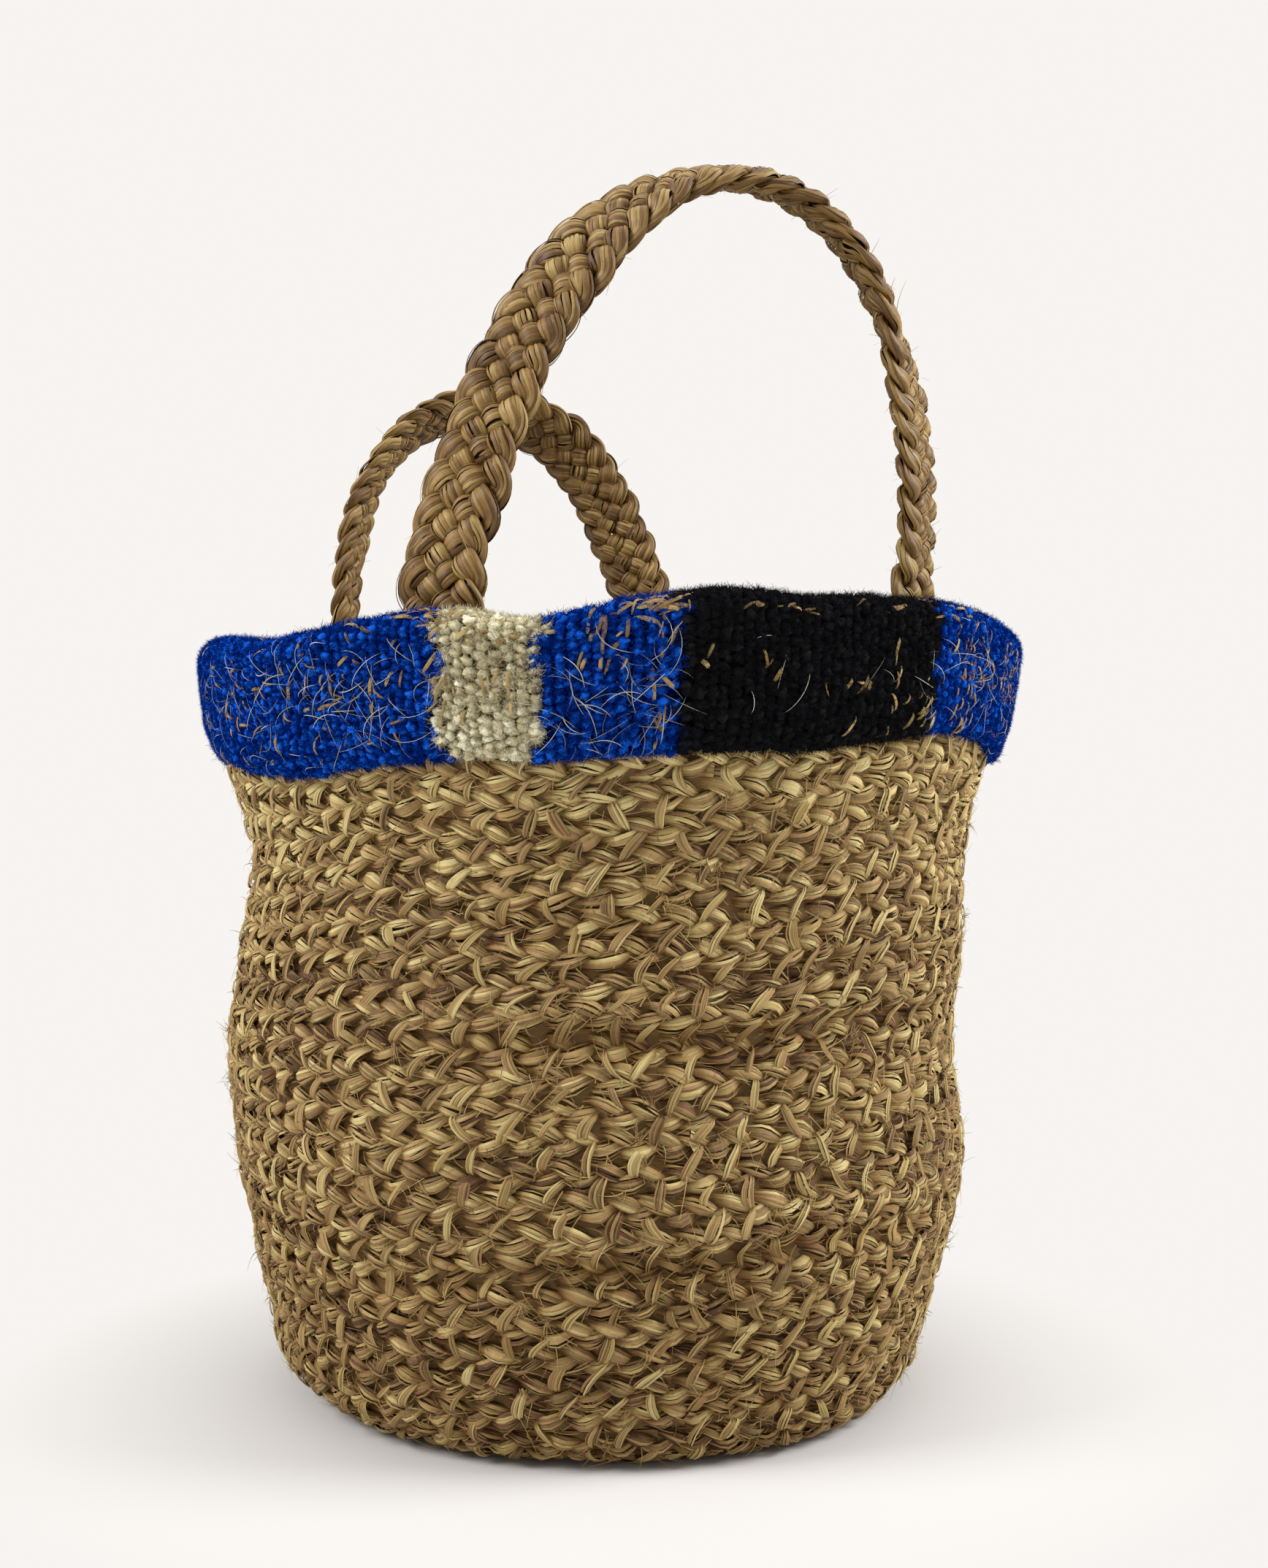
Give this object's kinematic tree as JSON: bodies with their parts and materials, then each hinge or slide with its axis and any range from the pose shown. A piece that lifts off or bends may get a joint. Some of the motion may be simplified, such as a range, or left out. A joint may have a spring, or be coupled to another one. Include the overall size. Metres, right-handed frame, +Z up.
{
  "type": "coiled straw basket",
  "caption": "Round open basket of coiled straw plait with a wool-covered rim and two plaited carrying handles that fold in and out.",
  "frame": {"origin": "on the ground under the middle of the base, where the coil starts", "axes": "+Z up out of the mouth; -Y towards the front handle; +X to the right, seen from the front"},
  "size_m": [0.3638, 0.3638, 0.4985],
  "materials": {
    "straw_plait": "matte",
    "straw_handle": "satin",
    "straw_stitch": "satin",
    "wool_blue": "matte",
    "wool_white": "matte",
    "wool_black": "matte"
  },
  "bodies": {
    "basket": {"coil_start": "straw_plait", "base_plait_1": "straw_plait", "base_plait_2": "straw_plait", "base_plait_3": "straw_plait", "wall_plait_1": "straw_plait", "wall_plait_2": "straw_plait", "wall_plait_3": "straw_plait", "wall_plait_4": "straw_plait", "wall_plait_5": "straw_plait", "wall_plait_6": "straw_plait", "wall_plait_7": "straw_plait", "wall_plait_8": "straw_plait", "wall_plait_9": "straw_plait", "wall_plait_10": "straw_plait", "cuff_blue_left": "wool_blue", "cuff_white_front": "wool_white", "cuff_blue_front": "wool_blue", "cuff_black_front": "wool_black", "cuff_blue_right": "wool_blue", "cuff_white_back": "wool_white", "cuff_blue_back": "wool_blue", "cuff_black_back": "wool_black", "front_left_foot": "straw_handle", "front_right_foot": "straw_handle", "back_left_foot": "straw_handle", "back_right_foot": "straw_handle", "front_left_stitch_1": "straw_stitch", "front_left_stitch_2": "straw_stitch", "front_right_stitch_1": "straw_stitch", "front_right_stitch_2": "straw_stitch", "back_left_stitch_1": "straw_stitch", "back_left_stitch_2": "straw_stitch", "back_right_stitch_1": "straw_stitch", "back_right_stitch_2": "straw_stitch"},
    "front_handle": {"front_handle_strand_1": "straw_handle", "front_handle_strand_2": "straw_handle", "front_handle_strand_3": "straw_handle", "front_handle_strand_4": "straw_handle", "front_handle_strand_5": "straw_handle"},
    "back_handle": {"back_handle_strand_1": "straw_handle", "back_handle_strand_2": "straw_handle", "back_handle_strand_3": "straw_handle", "back_handle_strand_4": "straw_handle", "back_handle_strand_5": "straw_handle"}
  },
  "joints": [
    {"name": "front_handle_swing", "type": "hinge", "parent": "basket", "child": "front_handle", "pos_m": [0, -0.13058, 0.33407], "axis": [1, 0, 0], "range_deg": [-45, 70]},
    {"name": "back_handle_swing", "type": "hinge", "parent": "basket", "child": "back_handle", "pos_m": [-0.02341, 0.13275, 0.33415], "axis": [-0.9848, -0.1736, 0], "range_deg": [-53, 62]}
  ]
}
